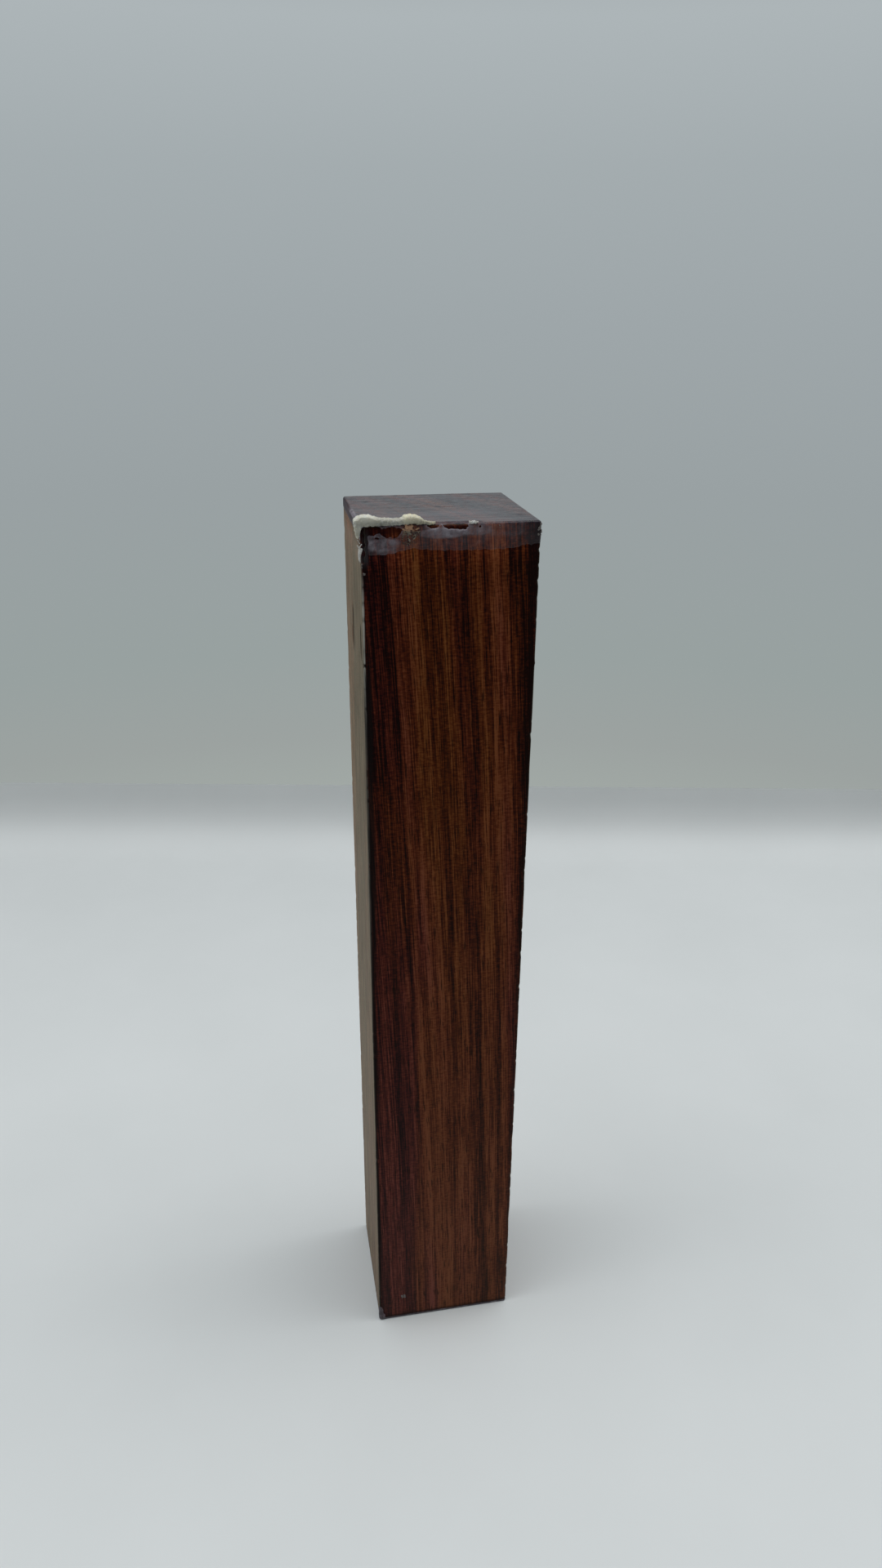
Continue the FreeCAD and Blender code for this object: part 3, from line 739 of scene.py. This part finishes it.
def make_base_skin():
    xs = grid_lines(HALF_X, ARRIS, 150)
    ys = grid_lines(HALF_Y, ARRIS, 120)
    zs = np.array([BASE + inset for inset in reversed(arris_insets(ARRIS))] +
                  list(np.arange(BASE + ARRIS + 0.12, 4.4, 0.14)))
    flat, quads = box_surface(xs, ys, zs, "xXyYz")
    points, normals = round_off(flat, (-HALF_X, -HALF_Y, BASE), (HALF_X, HALF_Y, 999.0), ARRIS)
    field = np.array([base_field(point) for point in points])
    down = np.clip(-normals[:, 2], 0.0, 1.0) ** 2
    thickness = 0.10 + down * (BASE - 0.10)
    veil = np.array([0.45 + 0.3 * ripple(point, (0.8, 0.8, 0.8), 1.0) for point in points])
    rim = np.full(len(points), 0.15)
    return make_skin("base_wax_skin", points, normals, quads, field, thickness, veil, rim,
                     MATERIALS["wax_film"], ["bottom_end_wax"])


# ---- lumps of wax and sawdust -------------------------------------------------------------------------

def fuse_lumps(name, lumps, voxel, grain, limits, material, replaced):
    """One piece out of many small rounded lumps, each given as its middle and its half sizes in mm. They
    are melted together at the voxel size, roughened by grain, and held inside limits."""
    points, faces = [], []
    ball = bpy.data.meshes.new("ball")
    shape = bmesh.new()
    bmesh.ops.create_icosphere(shape, subdivisions=2, radius=1.0)
    shape.to_mesh(ball)
    shape.free()
    ball_points = np.array([vertex.co[:] for vertex in ball.vertices])
    ball_faces = [list(face.vertices) for face in ball.polygons]
    for centre, half in lumps:
        faces += [[corner + len(points) for corner in face] for face in ball_faces]
        points += list(ball_points * np.array(half) + np.array(centre))
    bpy.data.meshes.remove(ball)
    rough = bpy.data.meshes.new(name + "_lumps")
    rough.from_pydata([Vector(p) for p in points], [], faces)
    holder = bpy.data.objects.new(name + "_lumps", rough)
    bpy.context.scene.collection.objects.link(holder)
    melt = holder.modifiers.new("melt", "REMESH")
    melt.mode = "VOXEL"
    melt.voxel_size = voxel
    ease = holder.modifiers.new("ease", "SMOOTH")
    ease.factor, ease.iterations = 0.5, 3
    graph = bpy.context.evaluated_depsgraph_get()
    melted = bpy.data.meshes.new_from_object(holder.evaluated_get(graph))
    out = [np.array(vertex.co) + np.array(vertex.normal) * grain *
           (0.55 * ripple(vertex.co, (2.2, 2.2, 2.2)) + 0.55 * ripple(vertex.co, (5.0, 5.0, 5.0), 5.0))
           for vertex in melted.vertices]
    out = np.clip(np.array(out), limits[0], limits[1])
    out_faces = [list(face.vertices) for face in melted.polygons]
    bpy.data.objects.remove(holder)
    bpy.data.meshes.remove(rough)
    bpy.data.meshes.remove(melted)
    return new_piece(name, out, out_faces, material, replaced)


# The bead's crest along the front edge of the top: x and z of its skyline.
CREST = [(-13.2, 153.0), (-12.8, 153.5), (-12.2, 153.72), (-11.4, 153.72), (-10.7, 153.45), (-9.9, 153.25),
         (-9.0, 153.2), (-8.2, 153.12), (-7.4, 153.1), (-6.8, 153.2), (-6.2, 153.55), (-5.6, 153.62),
         (-5.0, 153.5), (-4.4, 153.2), (-3.9, 152.85), (-3.3, 152.68), (-2.3, 152.6)]
# The run down the left arris: x, y, z of its middle line and its half width.
RUN = [(-12.75, -11.65, 152.9, 0.62), (-12.85, -11.72, 152.3, 0.56), (-12.85, -11.7, 151.8, 0.46),
       (-12.86, -11.65, 151.4, 0.36), (-12.84, -11.6, 151.0, 0.28), (-12.84, -11.55, 150.7, 0.18)]
BEAD_LEFT, BEAD_STEP, BEAD_STEPS = -12.95, 0.125, 86      # where its lumps start along x, and their spacing


def make_bead():
    """Three rows of lumps under the crest's line and one down the run, melted together."""
    pick = random.Random(SEED)
    lumps = []
    for step in range(BEAD_STEPS):
        x = BEAD_LEFT + step * BEAD_STEP
        crest = polyline(CREST, x)
        tail = smoothstep(-2.3, -5.2, x)
        radius = max(0.10, 0.5 * (crest - 152.15))
        for row in (-1, 0, 1):
            jitter = 1.0 + pick.uniform(-0.24, 0.10)
            y = -11.32 + row * 0.34 * (0.3 + 0.7 * tail) + pick.uniform(-0.06, 0.06)
            size = radius * jitter * (0.86 if row else 1.0)
            lumps.append(((x + pick.uniform(-0.05, 0.05), y, crest - size), (size, size * 1.02, size)))
    for (x0, y0, z0, r0), (x1, y1, z1, r1) in zip(RUN, RUN[1:]):
        for step in range(4):
            share = step / 4
            radius = (r0 + (r1 - r0) * share) * pick.uniform(0.9, 1.06)
            lumps.append(((x0 + (x1 - x0) * share, y0 + (y1 - y0) * share, z0 + (z1 - z0) * share),
                          (radius, radius, radius)))
    return fuse_lumps("wax_bead_melt", lumps, 0.07, 0.135, box_mm("wax_bead"), MATERIALS["cream_wax"],
                      ["wax_bead"])


def scatter(pick, centre, spread, count, size, flat=1.0):
    """A ragged cluster of small lumps round a place; flat squeezes each of them towards the face."""
    out = []
    for _ in range(count):
        place = [c + s * pick.uniform(-1, 1) for c, s in zip(centre, spread)]
        radius = size * pick.uniform(0.6, 1.25)
        wide, tall = (radius * pick.uniform(0.8, 1.3) for _ in range(2))
        out.append((place, (wide, radius * flat, tall)))
    return out


def make_flecks():
    """The flecks and curls of wax near the top, all in one piece."""
    pick = random.Random(SEED + 1)
    front = -HALF_Y
    lumps = []
    # White fleck on the left arris, tapering downwards, and the curls above it.
    for step in range(9):
        share = step / 8
        radius = 0.31 - 0.2 * share
        lumps.append(((-12.5 - 0.15 * math.sin(2.6 * share), front + 0.28, 149.15 - 1.7 * share),
                      (radius, radius * 0.9, 0.22)))
    for x0, z0, x1, z1 in ((-12.95, 149.75, -12.7, 149.35), (-12.7, 149.35, -12.35, 149.85),
                           (-12.9, 150.45, -12.6, 150.0)):
        for step in range(5):
            share = step / 4
            lumps.append(((x0 + (x1 - x0) * share, front + 0.15, z0 + (z1 - z0) * share),
                          (0.085, 0.085, 0.085)))
    lumps += scatter(pick, (-12.3, front + 0.1, 147.0), (0.12, 0.1, 0.4), 5, 0.09)
    lumps += scatter(pick, (-12.1, front + 0.02, 146.0), (0.12, 0.02, 0.4), 6, 0.10, 0.6)
    # Lifted flake on the top's front edge, and the flecks to its right.
    lumps += scatter(pick, (2.95, front - 0.06, 152.42), (0.62, 0.10, 0.12), 26, 0.12)
    lumps += scatter(pick, (6.7, front - 0.1, 151.7), (0.3, 0.0, 0.25), 5, 0.075, 0.7)
    lumps += scatter(pick, (10.9, front - 0.08, 152.36), (0.5, 0.08, 0.05), 6, 0.075)
    # Flakes at the front right corner.
    lumps += scatter(pick, (12.3, front - 0.08, 151.2), (0.22, 0.06, 0.85), 9, 0.14, 0.7)
    return fuse_lumps("wax_fleck_flakes", lumps, 0.045, 0.03, box_mm("wax_flecks"), MATERIALS["fleck_wax"],
                      ["wax_flecks"])


def make_base_fleck():
    pick = random.Random(SEED + 2)
    lumps = scatter(pick, (-7.9, -HALF_Y, 5.55), (0.35, 0.02, 0.4), 12, 0.17, 0.5)
    return fuse_lumps("base_wax_scab", lumps, 0.04, 0.03, box_mm("base_wax_fleck"),
                      MATERIALS["fleck_wax"], ["base_wax_fleck"])


def make_sawdust():
    """Crumbs thrown a little wider than the CAD lumps, but no further out from the face."""
    pick = random.Random(SEED + 3)
    front = -HALF_Y - 0.11
    lumps = scatter(pick, (-5.95, front, 152.1), (0.45, 0.02, 0.25), 26, 0.16, 0.9)
    lumps += scatter(pick, (-5.8, front, 151.3), (0.95, 0.02, 0.5), 70, 0.11, 0.9)
    lumps += scatter(pick, (-5.9, front, 150.3), (0.95, 0.02, 0.7), 64, 0.09, 0.8)
    lumps += scatter(pick, (-4.8, front, 151.4), (0.4, 0.02, 0.6), 20, 0.09, 0.8)
    low, high = box_mm("stuck_sawdust")
    return fuse_lumps("sawdust_clot", lumps, 0.04, 0.05, (low - (0.4, 0.0, 0.6), high + (0.4, 0.3, 0.6)),
                      MATERIALS["sawdust"], ["stuck_sawdust"])


# ---- materials and pieces -----------------------------------------------------------------------------

ROSEWOOD = rosewood_group()
MATERIALS = {"rosewood": rosewood_material(), "wax_film": film_material(), "cream_wax": cream_material(),
             "fleck_wax": fleck_material(), "sawdust": sawdust_material()}

make_stick()
make_top_skin()
make_base_skin()
make_bead()
make_flecks()
make_base_fleck()
make_sawdust()


# ---- stage, light and camera --------------------------------------------------------------------------

CAMERA_PLACE = (-27.5, -152.7, 179.9)       # mm, in the row frame
CAMERA_YAW, CAMERA_PITCH, CAMERA_ROLL = 10.54, 24.80, 0.44      # degrees right, down and clockwise
CAMERA_LENS = 24.13                         # mm, for a frame 36 mm along its longer side

LIP_DISTANCE = 185.0        # from the stick to the floor's back edge, mm
LIP_RADIUS = 17.0           # the floor curves up there into a low lip
LIP_HEIGHT = 22.0
LIP_STEPS = 12
STAGE_HALF = 2000.0         # half the floor's width
FLOOR_FRONT = 2000.0        # how far the floor reaches in front of the stick
PANEL_PLACE, PANEL_TARGET = (90, -15, 520), (90, -15, 0)        # straight overhead, a little to the right
PANEL_SIZE = (1600, 260)    # mm, wide from left to right
PANEL_POWER = 2.15          # watts
PANEL_COLOUR = (0.985, 0.995, 1.0)
PANEL_SPREAD = 145.0        # degrees
ROOM_SIDES = 1.9            # how much brighter the room is to the left and right
ROOM_FRONT = 0.45           # how bright the room is behind the camera, against the rest
# The room's colour by the sine of the height above the horizon, from ROOM_LOW to ROOM_HIGH.
ROOM_LOW, ROOM_HIGH = -0.5, 0.5
ROOM_COLOURS = [(0.066, (0.361, 0.397, 0.376)), (0.123, (0.332, 0.361, 0.352)),
                (0.196, (0.314, 0.356, 0.352)), (0.341, (0.319, 0.356, 0.366)),
                (0.478, (0.342, 0.381, 0.397)), (0.600, (0.371, 0.413, 0.429)),
                (0.697, (0.418, 0.462, 0.479)), (0.85, (0.300, 0.325, 0.335))]


def make_stage():
    """A pale floor, square to the camera's direction, that curves up to a low lip at its back edge."""
    material, g, shader = new_material("pale_sweep")
    place, _, _, z = g.place()
    mottle = g.noise(place, scale=30.0, detail=4.0)
    pale = g.ramp(mottle, [(0.3, (0.725, 0.744, 0.742)), (0.7, (0.750, 0.768, 0.767))])
    # Painted shade: the lip darkens as it turns up, and the flat floor is a little brighter.
    shade = g.fit(z, 0.5, 12.0, 1.03, 0.88, smooth=True)
    g.feed(shader.inputs["Base Color"], g.blend("MULTIPLY", 1.0, pale, g.grey(shade)))
    shader.inputs["Roughness"].default_value = 0.6
    profile = [(-FLOOR_FRONT, 0.0), (LIP_DISTANCE - LIP_RADIUS, 0.0)]
    for step in range(1, LIP_STEPS + 1):
        turn = math.radians(90.0 / LIP_STEPS * step)
        profile.append((LIP_DISTANCE - LIP_RADIUS * (1 - math.sin(turn)), LIP_RADIUS * (1 - math.cos(turn))))
    profile.append((LIP_DISTANCE, LIP_HEIGHT))
    points = [(x, y, z) for x in (-STAGE_HALF, STAGE_HALF) for y, z in profile]
    count = len(profile)
    faces = [(i, i + count, i + count + 1, i + 1) for i in range(count - 1)]
    mesh = bpy.data.meshes.new("sweep")
    mesh.from_pydata([Vector(p) * MM for p in points], [], faces)
    mesh.polygons.foreach_set("use_smooth", [True] * len(mesh.polygons))
    mesh.materials.append(material)
    sweep = bpy.data.objects.new("sweep", mesh)
    sweep.rotation_euler = (0.0, 0.0, -math.radians(CAMERA_YAW))
    bpy.context.scene.collection.objects.link(sweep)


def make_lights():
    """A pale room, brighter at the sides and darker behind the camera, and a wide soft panel overhead."""
    world = bpy.data.worlds.new("room")
    world.use_nodes = True
    g = Graph(world.node_tree)
    direction = g.node("ShaderNodeTexCoord").outputs["Generated"]
    across, ahead, up = g.node("ShaderNodeSeparateXYZ", {0: direction}).outputs
    pale = g.ramp(g.fit(up, ROOM_LOW, ROOM_HIGH), ROOM_COLOURS)
    share = g.times(g.fit(ahead, -0.1, -0.8, 1.0, ROOM_FRONT, smooth=True),
                    g.fit(g.math("ABSOLUTE", across), 0.6, 0.9, 1.0, ROOM_SIDES, smooth=True))
    background = world.node_tree.nodes["Background"]
    g.feed(background.inputs["Color"], g.blend("MULTIPLY", 1.0, pale, g.grey(share)))
    bpy.context.scene.world = world

    panel = bpy.data.lights.new("ceiling_panel", "AREA")
    panel.shape = "RECTANGLE"
    panel.size, panel.size_y = PANEL_SIZE[0] * MM, PANEL_SIZE[1] * MM
    panel.energy = PANEL_POWER
    panel.color = PANEL_COLOUR
    panel.spread = math.radians(PANEL_SPREAD)
    holder = bpy.data.objects.new("ceiling_panel", panel)
    holder.location = Vector(PANEL_PLACE) * MM
    aim = Vector(PANEL_TARGET) - Vector(PANEL_PLACE)
    holder.rotation_euler = aim.to_track_quat("-Z", "Y").to_euler()
    holder.visible_camera = False
    bpy.context.scene.collection.objects.link(holder)


def make_camera():
    data = bpy.data.cameras.new("camera")
    data.sensor_width = 36.0
    data.sensor_fit = "AUTO"
    data.lens = CAMERA_LENS
    data.clip_start, data.clip_end = 0.005, 20.0
    camera = bpy.data.objects.new("camera", data)
    camera.location = Vector(CAMERA_PLACE) * MM
    turn = Euler((math.radians(90 - CAMERA_PITCH), 0.0, -math.radians(CAMERA_YAW)), "XYZ").to_matrix()
    lean = Euler((0.0, 0.0, math.radians(CAMERA_ROLL)), "XYZ").to_matrix()
    camera.rotation_euler = (turn @ lean).to_euler()
    bpy.context.scene.collection.objects.link(camera)
    bpy.context.scene.camera = camera


make_stage()
make_lights()
make_camera()
bpy.context.scene.view_settings.view_transform = "Standard"

bpy.context.view_layer.update()
